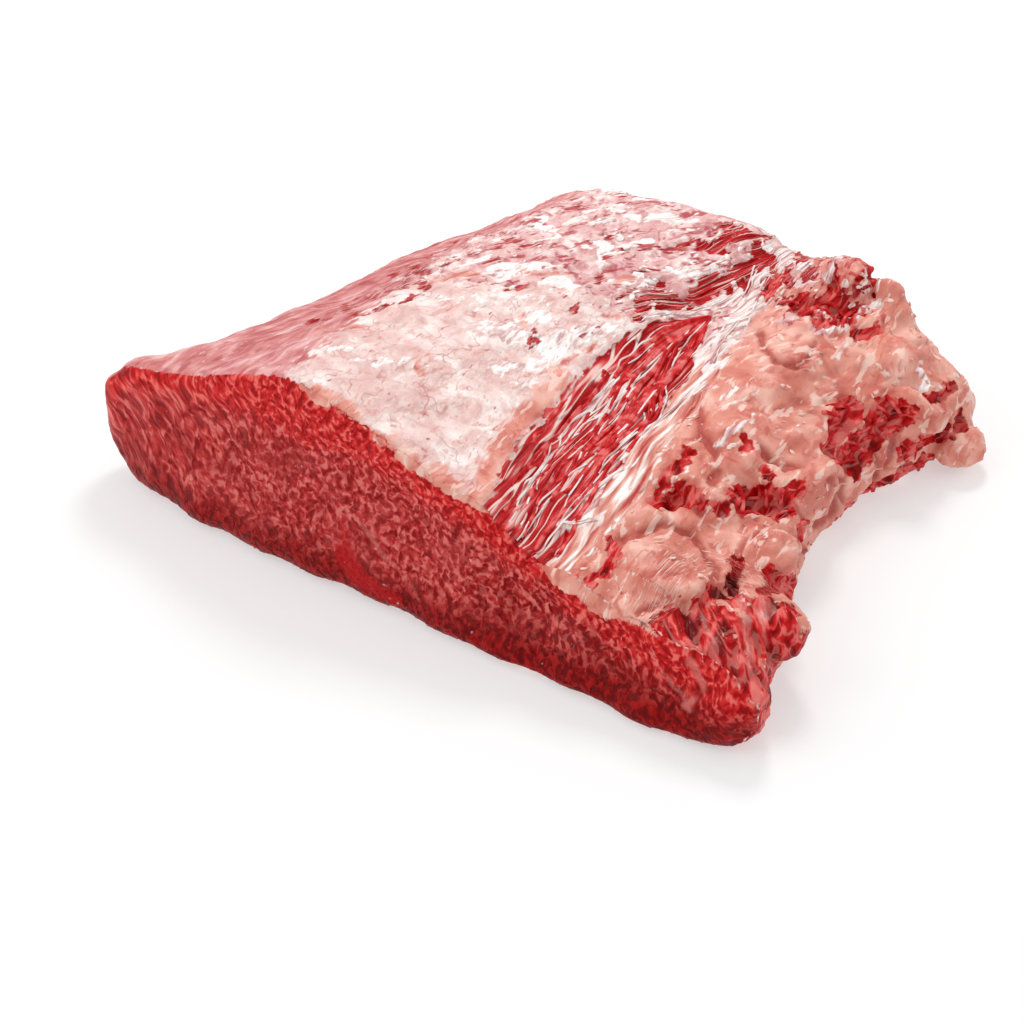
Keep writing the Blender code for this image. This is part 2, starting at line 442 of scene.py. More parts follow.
# Where lobes of soft fat meet
CREASES = marks("""
0.8: 231 20 46, 230 28 47, 231 39 46, 236 50 46, 244 55 41, 252 53 39, 261 46 37, 266 35 35, 262 27 35,
    256 16 38, 253 7 37
0.8: 258 106 40, 264 101 35, 267 101 30, 263 125 13, 263 139 12, 262 142 18
0.8: 262 142 18, 266 125 36, 259 120 40
0.8: 242 65 44, 247 73 44, 248 82 42, 248 93 34, 258 82 38
0.8: 207 118 56, 222 97 55, 228 96 54, 235 92 51
0.8: 241 112 50, 246 111 45, 251 112 43, 256 118 41, 257 129 40
0.5: 207 167 64, 215 157 63, 224 152 62, 232 158 61, 231 169 62, 227 179 61
0.8: 261 134 34, 262 144 23, 263 146 13
0.8: 262 166 26, 266 169 20, 266 168 12
0.8: 266 180 31, 267 176 23, 267 173 17
0.8: 263 57 36, 262 63 39, 265 72 40, 269 89 30, 267 107 12
0.5: 233 222 62, 242 211 58, 245 203 53, 254 196 50
0.5: 214 66 53, 215 75 55, 210 89 56, 201 102 53
0.8: 237 88 50, 239 79 49, 244 74 46
""")
# Where the fat, film and muscle are torn together, at the far corner
TORN_CORNER = ((212, 210, 68), (23, 27, 18))
# Pale threads on the cut face, and the wedge of blood-dark meat at its foot
FACE_THREADS = marks("""
0.6: 122 -4 37, 131 -5 34, 144 -7 26, 162 -9 13
2.4: 52 -6 20, 53 -6 19
2.0: 282 -4 15, 288 -2 19
0.8: 262 -1 28, 268 -2 22, 282 -4 16
0.8: 244 0 33, 252 -1 26
1.9: 276 42 35, 280 36 35, 286 27 33, 290 22 30, 298 12 27
1.0: 265 30 35, 270 23 36, 275 17 35, 282 10 35
1.4: 283 46 33, 288 37 32, 293 30 27
1.1: 289 42 33, 295 36 28, 298 33 20
1.0: 298 4 28, 304 3 22, 307 6 13
1.6: 278 1 31, 284 -1 25, 290 -2 20
""")
# Gaps between the folds of the swollen corner, carved into the relief and darkened with painted shade
CORNER_GAPS = marks("""
2.2: 268 48 32, 270 42 32, 269 38 35
0.9: 273 34 36, 279 25 36, 284 17 35
1.2: 288 46 33, 290 38 31, 295 32 24, 297 31 18
0.9: 301 12 27, 305 10 23, 308 12 14
0.8: 262 22 36, 270 14 35, 278 6 34
""")
BLOOD_WEDGE = marks("""
2.0: 123 -7 30, 126 -9 20
5.0: 126 -9 19, 131 -10 13
3.5: 131 -10 12, 150 -10 8
""")


def beside(points, strips):
    """How far inside the nearest strip each point is, in mm: its half width on its line."""
    best = np.full(len(points), -99.0)
    for line, half in strips:
        stations = np.array(line, float)
        for start, end in zip(stations[:-1], stations[1:]):
            step = end - start
            t = np.clip(((points - start) @ step) / (step @ step), 0, 1)
            best = np.maximum(best, half - np.linalg.norm(points - start - t[:, None] * step, axis=1))
    return best


print("sinews, white flakes and creases drawn:", len(SINEWS), len(WHITE_FLAKES), len(CREASES))


# %% Find each tissue
normals = evened(read(body_mesh.vertex_normals, "vector", 3), edges, 2)
normals /= np.linalg.norm(normals, axis=1, keepdims=True)
x, y, z = points.T
ragged = 2.2 * noise_at(points, 9, 1, 3)
fine = noise_at(points, 3.2, 2, 2)
# Marks get their torn outline by shifting the points before they are measured
shift = np.stack([noise_at(points, 6, seed, 3) for seed in (21, 22, 23)], 1)
shift -= normals * (shift * normals).sum(1, keepdims=True)
torn, wavy = points + 3.2 * shift, points + 1.5 * shift
LOWEST, HIGHEST = (np.array(corner) / MM + ZERO for corner in cad_box)
def in_cad_box(points):
    return np.clip(points, LOWEST, HIGHEST)


def part_in(distance, edge=3.0):
    """A distance in mm past a line, as 0 to 1 with the step centred on the line."""
    return np.clip(0.5 + distance / (2 * edge), 0, 1)


top = ramp(normals[:, 2], -0.1, 0.35)
cut_plane = ramp(-normals[:, 1], 0.30, 0.55) * ramp(-y, -22, -14)
off_cut = 1 - cut_plane
below_edge = along(CUT_TOP, x) - z
torn_corner = 1 - np.sqrt((((points - TORN_CORNER[0]) / TORN_CORNER[1]) ** 2).sum(1)) + 0.12 * ragged
left_of_band = along(BAND_LEFT, y) - x + ragged
right_of_band = x - along(BAND_RIGHT, y) + ragged
in_band = np.minimum(-left_of_band, -right_of_band)
long_streaks = noise_at(points, (4, 34, 12), 24, 2)
in_torn_corner = np.where(torn_corner > 0, 0, -99)
torn_lean = 9 * (noise_at(points, (7, 11, 8), 15, 2) - 0.06) + in_torn_corner
bare_distance = np.maximum(beside(torn, BARE_LEAN) + 0.8, torn_lean)
to_sinew = np.maximum(beside(wavy, SINEWS), 9 * (noise_at(points, (5, 9, 6), 16, 2) - 0.34) + in_torn_corner)
torn_fat = 14 * noise_at(points, (8, 10, 9), 17, 2) - 12 * torn_corner + 1.5
deckle = part_in(np.minimum(x - along(SINEW_RIGHT, y) + ragged, torn_fat), 3) * off_cut
beside_band = np.minimum(right_of_band, along(SINEW_RIGHT, y) + 5 - x + ragged)
in_upper_band = beside(torn, UPPER_BAND) + 2.2 + 7 * noise_at(points, (5, 9, 8), 18, 2)
sinew_edge = np.minimum(beside_band, 14 * (long_streaks + 0.6 * ramp(y, 125, 160) - 0.45))
rim = np.minimum(np.minimum(9 - left_of_band, left_of_band), np.minimum(y - 3, 92 - y + 2 * ragged))
torn_blush = 9 * noise_at(points, (8, 11, 9), 19, 2) + 1.5 + in_torn_corner
torn_streaks = 9 * noise_at(points, (3, 8, 5), 20, 2) - 1 + in_torn_corner
tissue = {
    "mottled": part_in(np.maximum(y - along(CAP_END, x) + 2 * ragged, 12 * torn_corner), 9),
    "flank": part_in(along(CREST, y) - x + 2 * ragged, 6),
    "white_flake": part_in(beside(torn, WHITE_FLAKES)),
    "blush": part_in(np.maximum(beside(wavy, BLUSHES), torn_blush)),
    "red_streak": part_in(np.maximum(beside(wavy, RED_STREAKS), torn_streaks)),
    "deckle": deckle,
    "pale": part_in(np.minimum(beside_band, 150 - y), 3),
    "band": np.maximum(part_in(np.minimum(in_band, 168 - y)), part_in(in_upper_band)) * top,
    "sinew": part_in(np.minimum(np.maximum(sinew_edge, to_sinew), -in_upper_band)) * off_cut * ramp(z, 2, 6),
    "cap_rim": part_in(np.maximum(rim, np.minimum(7 - y + 2.5 * ragged, 36 - np.abs(x - 138)))) * top,
    "bare": part_in(np.minimum(bare_distance, 0.8 - to_sinew)) * off_cut,
    "cut_face": cut_plane,
    "edge_fat": part_in(along(EDGE_FAT, x) - below_edge + ragged, 1.5) * cut_plane,
}
for name, weight in tissue.items():
    print(f"{name:12s} covers {weight.mean():5.1%} of the points")

# %% [markdown]
# ## Relief
#
# Meat catches light on its relief as much as on its colour. The strands of the bare band are
# long ridges that follow the grain, so their noise is stretched along it.
# Fat breaks into rounded lobules with creases between them: the absolute value of a noise
# has just such creases. The cut face is pebbled by the ends of the muscle bundles.

# %% Coordinates that follow the grain
# Across the grain, along it, and up. Behind the cap the grain swings towards +X.
swing = 0.75 * np.maximum(0, y - along(CAP_END, x)) * part_in(along(BAND_LEFT, y) - x, 20)
centre_line = (along(BAND_LEFT, y) + along(SINEW_RIGHT, y)) / 2
near_band = ramp(x, 120, 165) * (1 - ramp(x, 225, 255))
across = x - near_band * (centre_line - 190) - swing
across += 1.6 * noise_at(points, (18, 30, 18), 25, 2)
grain = np.stack((across, y, z), 1)
# In the swollen corner the folds run forwards and to the right
in_corner = (ramp(x, 246, 262) * (1 - ramp(y, 46, 58)))[:, None]
corner_grain = np.stack((0.73 * x + 0.68 * y, 0.68 * x - 0.73 * y, z), 1)
grain += in_corner * (corner_grain + (0, 200, 0) - grain)
print("across the grain from", round(across.min()), "to", round(across.max()), "mm")

# %% Bundle coordinates on the cut face
# One unit is one bundle. Bundles are cut slantwise at the left, where they look long, and
# nearly square in the middle. (x, units per mm) along each of two slanting directions:
BUNDLES_DOWN = places("-40 0.12, 25 0.14, 75 0.34, 180 0.36, 225 0.33, 340 0.32")
BUNDLES_UP = places("-40 0.30, 40 0.32, 85 0.36, 170 0.38, 215 0.40, 340 0.40")
MIDDLE_HEIGHT = 30.0


def bundle_coordinate(stations, direction):
    """A coordinate whose rate changes along X, so that no bundle jumps in size."""
    rows = np.arange(-40.0, 341.0)
    rate = along(stations, rows)
    summed = np.interp(x, rows, np.cumsum(rate) * math.sqrt(0.5))
    return summed + direction * along(stations, x) * math.sqrt(0.5) * (z - MIDDLE_HEIGHT)


bundle = np.stack((bundle_coordinate(BUNDLES_DOWN, -1), bundle_coordinate(BUNDLES_UP, 1), y / 7), 1)
bundle += 0.5 * np.stack([noise_at(points, 9, seed, 1) for seed in (26, 27, 28)], 1)
print("bundles across the face:", round(np.ptp(bundle[:, 1])))

# %% Relief of each tissue
strands = noise_at(grain, (3.4, 60, 30), 3, 2)
fine_strands = noise_at(grain, (1.9, 34, 30), 4, 1)
masses = 1 - np.abs(noise_at(points, (22, 22, 17), 5, 1)) * 2.2
lobules = 1 - np.abs(noise_at(grain, (9, 17, 9), 6, 2)) * 2.2
folds = noise_at(grain, (3.6, 11, 5), 13, 2)
lobed = ramp(noise_at(points, 24, 11, 1), -0.05, 0.30)
bundle_ends = noise_at(bundle, 0.75, 7, 2)
crumple = noise_at(grain, (6, 14, 9), 8, 3)
flakes = noise_at(grain, (3.0, 9, 6), 9, 2)
knife = noise_at(points, (30, 30, 22), 10, 2)
swirl = 1 - np.abs(noise_at(grain, (5.5, 17, 8), 12, 1)) * 2

crease = np.clip(1 + beside(wavy, CREASES) / 2.2, 0, 1)
cap = np.clip(1 - tissue["flank"] - tissue["band"] - tissue["pale"] - deckle, 0, 1) * top * off_cut
lean = smooth(tissue["bare"])
on_deckle = smooth(deckle) * (1 - lean)

lift = 0.9 * smooth(cap) + 0.30 * cap * crumple
lift += smooth(tissue["band"]) * (-0.6 + 1.25 * strands + 0.5 * fine_strands)
lift += smooth(tissue["sinew"]) * (0.7 + 0.35 * fine_strands)
lift += smooth(tissue["pale"]) * (0.7 * strands + 0.4 * fine_strands)
crease = smooth(crease)
lift += on_deckle * (masses - 0.5 + 0.7 * lobed * (lobules - 0.4) + 0.6 * folds - 1.7 * crease)
lift += ramp(bare_distance, -6, -1) * (1 - lean) * deckle * 1.1
open_pocket = ramp(y, 42, 60) * np.clip(bare_distance, 0, 4.5)
gap = np.clip(1 + beside(wavy, CORNER_GAPS) / 1.8, 0, 1)
lift += lean * (1.3 * (swirl - 0.3) + 0.3 * fine - 0.6 * open_pocket)
lift -= 2.6 * smooth(gap) * off_cut
lift += cut_plane * (0.45 * bundle_ends + 0.5 * knife)
lift += smooth(tissue["mottled"]) * (0.55 * crumple + 0.45 * flakes)
lift += 0.3 * smooth(tissue["white_flake"]) - 0.5 * smooth(tissue["red_streak"])
lift += smooth(tissue["flank"]) * (0.35 * strands + 0.3 * crumple) * off_cut
lift *= ramp(z, 0.5, 4.0)
# No relief passes the CAD box
for axis in range(3):
    steep = np.where(np.abs(normals[:, axis]) < 0.05, 0.05, normals[:, axis])
    room = np.where(steep > 0, HIGHEST[axis] - points[:, axis], LOWEST[axis] - points[:, axis]) / steep
    lift = np.minimum(lift, np.maximum(room, -2.0))
points = in_cad_box(points + normals * lift[:, None])
points[underside, 2] = 0.0
write_points(body_mesh, points)
print("relief from", round(lift.min(), 1), "to", round(lift.max(), 1), "mm")


# %% Write the tissues on the mesh
def write_number(mesh, name, values):
    layer = mesh.attributes.new(name, "FLOAT", "POINT")
    layer.data.foreach_set("value", values.astype(np.float32))


def write_vector(mesh, name, values):
    layer = mesh.attributes.new(name, "FLOAT_VECTOR", "POINT")
    layer.data.foreach_set("vector", values.astype(np.float32).ravel())


between_lobules = 0.6 * np.maximum(0, 0.4 - lobules) * lobed
creased = between_lobules + 0.4 * np.maximum(0, -0.1 - folds) + 0.9 * crease
patchy = noise_at(points, 11, 14, 2)
on_back = (torn_corner < -0.1) & (tissue["mottled"] > 0.6) & (tissue["flank"] < 0.3)
on_back &= (tissue["band"] < 0.2) & (deckle < 0.2)
numbers = {
    **tissue,
    "creased": np.clip(evened(creased, edges, 1), 0, 1),
    # painted shade: darker colour deep in the open pockets and in the gaps of the corner
    "hollow": np.maximum(0.35 * ramp(open_pocket + 0.5 * ragged, 2.5, 5.5), 0.9 * smooth(gap)),
    "near_edge": ramp(along(BRIGHT_EDGE, x) - below_edge - 2 * ragged, -6, 7),
    "face_thread": part_in(beside(wavy, FACE_THREADS)),
    # painted shade: the cut face turns darker towards its foot, where less light reaches it
    "dark_foot": ramp(-z - 1.5 * ragged, -25, -9),
    "blood_wedge": 0.85 * part_in(beside(wavy, BLOOD_WEDGE), 1.5),
    # Where the small pieces of the last step go
    "shred_spots": (tissue["bare"] > 0.75) & (y > 52),
    "flake_spots": on_back & (patchy > 0.22),
    "fat_spots": (on_deckle > 0.9) & (patchy > 0.15) & (z > 4),
}
for name, values in numbers.items():
    write_number(body_mesh, name, values)
write_vector(body_mesh, "grain", grain * MM)
write_vector(body_mesh, "bundle", bundle)
print("attributes:", [a.name for a in body_mesh.attributes if not a.name.startswith(".")])

# %% One face for the flat underside
bm = bmesh.new()
bm.from_mesh(body_mesh)
flat = [f for f in bm.faces if all(v.co.z < 1e-6 for v in f.verts)]
bmesh.ops.dissolve_faces(bm, faces=flat)
loose = [v for v in bm.verts if not v.link_faces]
bmesh.ops.delete(bm, geom=loose, context="VERTS")
bmesh.ops.triangulate(bm, faces=[f for f in bm.faces if len(f.verts) > 4])
bm.to_mesh(body_mesh)
bm.free()
for polygon in body_mesh.polygons:
    polygon.use_smooth = True
body = placed("brisket_body", body_mesh)
triangles = sum(len(p.vertices) - 2 for p in body_mesh.polygons)
print("body:", triangles, "triangles")


# %% [markdown]
# ## Colours and nodes
#
# Colours are written as sRGB hex, as a picture editor shows them, and one function turns
# them linear. One small function adds a node. The patterns that come up again and again,
# such as patches of noise, are short recipes of a few nodes, with their sizes in real mm.

# %% Helpers
MATH, MIX, RAMP, FIT = "ShaderNodeMath", "ShaderNodeMix", "ShaderNodeValToRGB", "ShaderNodeMapRange"
VECTOR_MATH = "ShaderNodeVectorMath"
STEP = {"interpolation_type": "SMOOTHSTEP"}


def linear(colour):
    """An sRGB hex colour as linear RGBA."""
    parts = [int(colour[i : i + 2], 16) / 255 for i in (1, 3, 5)]
    return (*(c / 12.92 if c <= 0.04045 else ((c + 0.055) / 1.055) ** 2.4 for c in parts), 1.0)


def add(tree, kind, inputs=None, out=0, stops=None, **settings):
    """Adds a node with its settings and links, and gives one of its outputs.

    An input is a number, a colour in hex or another node's output. Stops fill a colour ramp:
    they are places and colours in turn.
    """
    node = tree.nodes.new(kind)
    for name, value in settings.items():
        setattr(node, name, value)
    for key, value in (inputs or {}).items():
        if isinstance(value, bpy.types.NodeSocket):
            tree.links.new(value, node.inputs[key])
        else:
            node.inputs[key].default_value = linear(value) if isinstance(value, str) else value
    if stops:
        words, elements = stops.split(), node.color_ramp.elements
        pairs = list(zip(map(float, words[::2]), map(linear, words[1::2])))
        for element, pair in zip(elements, (pairs[0], pairs[-1])):
            element.position, element.color = pair
        for place, colour in pairs[1:-1]:
            elements.new(place).color = colour
    return node.outputs[out] if node.outputs else node


def blotches(tree, place, size, seed, detail=2.0, turn=(0, 0, 0), warp=0.0):
    """Noise from 0 to 1 whose blotches are size mm wide along each axis, turned by degrees."""
    mapping = {
        "Vector": place,
        "Location": (0.11 * seed, 0.07 * seed, 0.05 * seed),
        "Rotation": tuple(math.radians(d) for d in turn),
        "Scale": tuple(s * MM for s in size),
    }
    moved = add(tree, "ShaderNodeMapping", mapping, vector_type="TEXTURE")
    noise_inputs = {"Vector": moved, "Scale": 1.0, "Detail": detail, "Distortion": warp}
    return add(tree, "ShaderNodeTexNoise", noise_inputs)


def patches(tree, place, size, seed, start, end, share=1.0, **more):
    """Where a noise passes start, rising smoothly to share at end."""
    noise = blotches(tree, place, size, seed, **more)
    return add(tree, FIT, {0: noise, 1: start, 2: end, 4: share}, **STEP)


def threads(tree, place, size, seed, width, share=1.0, **more):
    """Share on the lines where a noise passes its middle: veins and worm-like marbling."""
    noise = blotches(tree, place, size, seed, **more)
    off = add(tree, MATH, {0: noise, 1: 0.5}, operation="SUBTRACT")
    off = add(tree, MATH, {0: off}, operation="ABSOLUTE")
    return add(tree, FIT, {0: off, 1: width, 2: width * 0.35, 4: share}, **STEP)


def covered(tree, below, *overs):
    """A colour with others laid over it in turn, each given as (amount, colour)."""
    for amount, over in overs:
        below = add(tree, MIX, {0: amount, 6: below, 7: over}, out=2, data_type="RGBA")
    return below


# %% [markdown]
# ## The meat and fat materials
#
# Raw beef is wet muscle: bundles of dark red fibre in a paler net of fat and sinew.
# Its film of moisture gives sharp small highlights over a soft, slightly translucent body,
# so the shader has a little subsurface scattering and a thin clear coat with an IOR near
# water's. Each tissue gets its colour and fine relief from patterns at real sizes.
# Every recipe below gives a colour, a height, and how deep that height is in the bump.


# %% Tissues of one tone
def one_tone(size, seed, stops, depth, **more):
    """A recipe that colours one noise along the grain by a ramp, and lifts it by depth."""

    def recipe(tree, place, grain):
        tone = blotches(tree, grain, size, seed, **more)
        return add(tree, RAMP, {0: tone}, stops=stops), tone, depth

    return recipe


# White membrane with grey-pink lines where it folds, peach film, and muscle that shows through torn film
membrane_tones = "0.34 #CFA5A3  0.43 #E9D3CF  0.53 #F7EEEA  0.62 #FCFAF9"
white_flakes = one_tone((2.6, 8, 5), 26, membrane_tones, 2.0, warp=0.6)
blush = one_tone((3, 9, 6), 27, "0.38 #CC6F64  0.50 #DD9183  0.62 #EBB5A8", 2.0)
red_streaks = one_tone((2.2, 8, 5), 28, "0.36 #8E1117  0.50 #AC242A  0.64 #CE6462", 2.0)
# Peach and cream strands beside the band, and white sinew with a few pink threads along it
peach_to_cream = "0.33 #B9443F  0.41 #D3796D  0.49 #E09C8D  0.55 #F0C8BC  0.61 #FDF6F2"
pale_strands = one_tone((2.8, 30, 9), 46, peach_to_cream, 4.5)
sinew = one_tone((1.9, 16, 6), 51, "0.32 #BE7673  0.41 #DDA9A5  0.49 #EFD5D0  0.60 #FCF5F2", 2.6, detail=3.0)
# Loose shreds of muscle, and soft flakes of fat from peach to cream
loose_muscle = one_tone((5, 5, 5), 73, "0.36 #B3090F  0.50 #D02529  0.64 #E66C68", 1.0, detail=1.0)
loose_fat = one_tone((6, 6, 6), 74, "0.38 #DF9282  0.50 #EBB3A4  0.62 #F6DACF", 1.0)
print("tissues of one tone: membrane, film, streaks, strands, sinew and loose shreds")


# %% Cut face
def cut_face(tree, place, grain):
    """The ends of muscle bundles, 3 to 5 mm across, in a broken net of pale marbling, with painted shade
    darkening the foot.
    """
    bundle = add(tree, "ShaderNodeAttribute", out="Vector", attribute_name="bundle")
    spot = add(tree, "ShaderNodeSeparateXYZ", {"Vector": place})
    bead = blotches(tree, bundle, (900, 900, 900), 2, detail=1.5, warp=0.5)
    sway = add(tree, "ShaderNodeTexNoise", {"Vector": bundle, "Scale": 0.9, "Detail": 0.0}, out="Color")
    swayed = add(tree, VECTOR_MATH, {0: sway, 1: (0.9, 0.9, 0.9), 2: bundle}, operation="MULTIPLY_ADD")
    cell = add(tree, "ShaderNodeTexVoronoi", {"Vector": swayed, "Scale": 1.0}, feature="F1")
    net = add(tree, FIT, {0: cell, 1: 0.56, 2: 0.80, 4: 0.75}, **STEP)
    broken = add(tree, FIT, {0: spot, 1: -0.02, 2: 0.08, 3: 0.2, 4: 0.75}, **STEP)
    coarse = add(tree, FIT, {0: spot, 1: 0.02, 2: 0.09}, **STEP)
    calm = add(tree, RAMP, {0: bead}, stops="0.35 #820C0E  0.45 #A71F21  0.54 #BF3B39  0.64 #DA6F69")
    strong = add(tree, RAMP, {0: bead}, stops="0.38 #6A0002  0.46 #960709  0.53 #B92829  0.61 #DA766E")
    bright = add(tree, RAMP, {0: bead}, stops="0.36 #98060B  0.45 #BE1216  0.55 #D5302F  0.65 #EC6B63")
    # painted shade: darker tones for the foot of the face
    foot = add(tree, RAMP, {0: bead}, stops="0.38 #660001  0.50 #860103  0.62 #A0100F")
    near_edge, dark_foot, wedge, thread = (
        add(tree, "ShaderNodeAttribute", out="Fac", attribute_name=name)
        for name in ("near_edge", "dark_foot", "blood_wedge", "face_thread")
    )
    thread = add(tree, FIT, {0: thread, 1: 0.35, 2: 0.6, 4: 0.5}, **STEP)
    colour = covered(
        tree,
        calm,
        (coarse, strong),
        (patches(tree, place, (22, 22, 16), 5, 0.50, 0.62, share=0.22, detail=1.0), "#B84344"),
        (patches(tree, place, (18, 18, 13), 7, 0.52, 0.64, share=0.40, detail=1.0), "#8A0408"),
        (add(tree, MATH, {0: net, 1: broken}, operation="MULTIPLY"), "#D6685F"),
        (near_edge, bright),
        (dark_foot, foot),
        (wedge, "#B00A10"),
        (thread, "#D78079"),
    )
    return colour, bead, 2.8


# %% Fat cap
def fat_cap(tree, place, grain):
    """A pale membrane over cream fat, with faint veins and a blush where the meat shows through."""
    soft = blotches(tree, place, (15, 15, 15), 11, detail=3.0, turn=(0, 0, 20))
    colour = add(tree, RAMP, {0: soft}, stops="0.36 #E0B9B4  0.45 #E9C9C3  0.54 #EFD6D0  0.64 #F6E9E4")
    folds = blotches(tree, grain, (3.4, 7, 6), 17, detail=3.0)
    vein = threads(tree, place, (9, 13, 11), 18, 0.014, detail=1.5, turn=(0, 0, 35))
    in_places = patches(tree, place, (12, 12, 12), 19, 0.46, 0.58, share=0.6, detail=0.0)
    colour = covered(
        tree,
        colour,
        (patches(tree, grain, (8, 11, 12), 12, 0.53, 0.66, share=0.45, detail=3.0), "#E3ABA3"),
        (patches(tree, grain, (2.6, 6, 5), 14, 0.60, 0.66, share=0.45, detail=2.0, warp=0.8), "#CB8D84"),
        (add(tree, MATH, {0: vein, 1: in_places}, operation="MULTIPLY"), "#B9736B"),
        (
            threads(tree, place, (17, 13, 12), 15, 0.045, share=0.24, detail=1.5, turn=(0, 0, 30), warp=0.6),
            "#BF8A84",
        ),
        (add(tree, FIT, {0: folds, 1: 0.57, 2: 0.66, 4: 0.45}, **STEP), "#D29E99"),
    )
    return colour, folds, -1.8


# %% Mottled back and flank
def mottled(tree, place, grain):
    """Torn membrane: pink film, pale flakes and short streaks of bare meat along the grain."""
    flecks = blotches(tree, place, (5.6, 6.6, 6), 21, detail=3.0, turn=(0, 0, 45), warp=0.8)
    stops = "0.33 #B0545A  0.41 #D08F91  0.49 #E1B4B1  0.57 #EDCDC8  0.67 #F7E9E5"
    colour = add(tree, RAMP, {0: flecks}, stops=stops)
    colour = covered(
        tree,
        colour,
        (patches(tree, place, (16, 16, 12), 24, 0.48, 0.58, share=0.55), "#E3AFAC"),
        (patches(tree, grain, (5.5, 8.5, 8), 22, 0.585, 0.64, share=0.8, detail=3.0, warp=0.6), "#AE2F36"),
        (
            patches(
                tree, place, (14, 11, 12), 23, 0.585, 0.61, share=0.9, detail=3.0, turn=(0, 0, 45), warp=0.6
            ),
            "#FBF6F4",
        ),
    )
    return colour, flecks, 2.8


def flank(tree, place, grain):
    """A thin mauve film stretched over meat, so that red shows in soft long streaks."""
    film = blotches(tree, grain, (6, 12, 7), 31, detail=4.0, warp=0.5)
    colour = add(tree, RAMP, {0: film}, stops="0.34 #BC6162  0.45 #CB7C7A  0.55 #D99492  0.66 #E7B2B0")
    colour = covered(tree, colour, (patches(tree, grain, (4.5, 13, 8), 32, 0.58, 0.66, share=0.5), "#A83A3E"))
    return colour, film, 2.2


# %% Bare strands
def bare_strands(tree, place, grain):
    """Red strands between white membranes, all along the grain."""
    strand = blotches(tree, grain, (2.2, 30, 12), 41, detail=1.5)
    line = threads(tree, grain, (5.0, 70, 20), 42, 0.026, detail=0.5)
    spot = add(tree, "ShaderNodeSeparateXYZ", {"Vector": place}, out="Y")
    low = add(tree, FIT, {0: spot, 1: 0.060, 2: 0.030, 4: 0.85}, **STEP)
    stops = "0.32 #93060B  0.43 #B40B11  0.52 #C9262A  0.60 #DC6461  0.68 #F3C3BB"
    colour = add(tree, RAMP, {0: strand}, stops=stops)
    colour = covered(
        tree,
        colour,
        (add(tree, MATH, {0: line, 1: low}, operation="MULTIPLY"), "#FBE6DE"),
        (threads(tree, grain, (6.0, 30, 14), 43, 0.030, share=0.5, detail=1.0), "#7C0207"),
        (patches(tree, grain, (2.0, 30, 14), 45, 0.61, 0.66, share=0.8, detail=1.0), "#F6D9D0"),
    )
    return colour, strand, 5.5


# %% Deckle fat and bare lean
def deckle_fat(tree, place, grain):
    """Peach fat in smooth masses, redder in its creases and paler on its crowns."""
    mass = blotches(tree, place, (16, 16, 16), 61, detail=4.0, warp=0.6)
    colour = add(tree, RAMP, {0: mass}, stops="0.34 #CF786A  0.45 #DB8B7A  0.55 #E59E8E  0.68 #EFB9A9")
    crease = add(tree, "ShaderNodeAttribute", out="Fac", attribute_name="creased")
    colour = covered(
        tree,
        colour,
        (add(tree, FIT, {0: crease, 1: 0.15, 2: 0.9, 4: 0.75}, **STEP), "#A93F39"),
        (patches(tree, place, (9, 9, 9), 62, 0.57, 0.67, share=0.5, detail=4.0, warp=0.7), "#BF463E"),
        (patches(tree, grain, (3.4, 12, 6), 64, 0.57, 0.64, share=0.5, detail=3.0, warp=0.5), "#C9655A"),
        (patches(tree, grain, (3.4, 12, 6), 63, 0.57, 0.64, share=0.7, detail=3.0, warp=0.5), "#F5D6C9"),
    )
    return colour, mass, 2.4


def bare_lean(tree, place, grain):
    """Torn muscle: swirling dark red bundles with a few pale threads, and painted shade deep in its pockets
    and gaps.
    """
    swirl = blotches(tree, grain, (3.6, 13, 6), 71, detail=2.0, warp=0.7)
    streak = add(tree, "ShaderNodeAttribute", out="Fac", attribute_name="face_thread")
    streak = add(tree, FIT, {0: streak, 1: 0.25, 2: 0.75, 4: 0.5}, **STEP)
    film = blotches(tree, grain, (2.4, 9, 5), 75, detail=2.0)
    pale = add(tree, RAMP, {0: film}, stops="0.38 #C9615C  0.50 #E0938B  0.62 #F2C8C0")
    colour = add(tree, RAMP, {0: swirl}, stops="0.34 #7A0104  0.44 #AC0509  0.53 #CC1D20  0.63 #E76761")
    # painted shade: the pockets and gaps turn near black
    depth = add(tree, "ShaderNodeAttribute", out="Fac", attribute_name="hollow")
    colour = covered(
        tree,
        colour,
        (depth, "#5E0002"),
        (threads(tree, grain, (6, 20, 8), 72, 0.05, share=0.35, detail=1.0, warp=0.6), "#E08F86"),
        (streak, pale),
    )
    return colour, swirl, 3.0


# %% [markdown]
# ## One recipe, cooked for each stretch of skin
#
# A shader works out every colour it is given, even where its share is nothing. With a dozen
# tissues in one material a render takes far too long. So the same recipe is cooked several
# times, each with only the tissues that meet on a stretch of skin, from the bottom layer up.
# A face looks up which tissues can show on it and takes the material that holds them.

# %% The recipe
# From the lowest layer up: the tissue, its colour, how far noise frays its edge, and how soft it is
LAYERS = (
    ("fat_cap", fat_cap, 0.0, 0.0),
    ("mottled", mottled, 1.1, 0.15),
    ("flank", flank, 1.1, 0.25),
    ("white_flake", white_flakes, 0.9, 0.15),
    ("blush", blush, 0.6, 0.20),
    ("red_streak", red_streaks, 1.0, 0.15),
    ("cap_rim", deckle_fat, 0.6, 0.35),
    ("deckle", deckle_fat, 0.6, 0.10),
    ("pale", pale_strands, 0.8, 0.15),
    ("band", bare_strands, 0.5, 0.08),
    ("sinew", sinew, 0.35, 0.08),
    ("bare", bare_lean, 0.3, 0.06),
    ("cut_face", cut_face, 0.9, 0.16),
    ("edge_fat", deckle_fat, 0.5, 0.10),
)


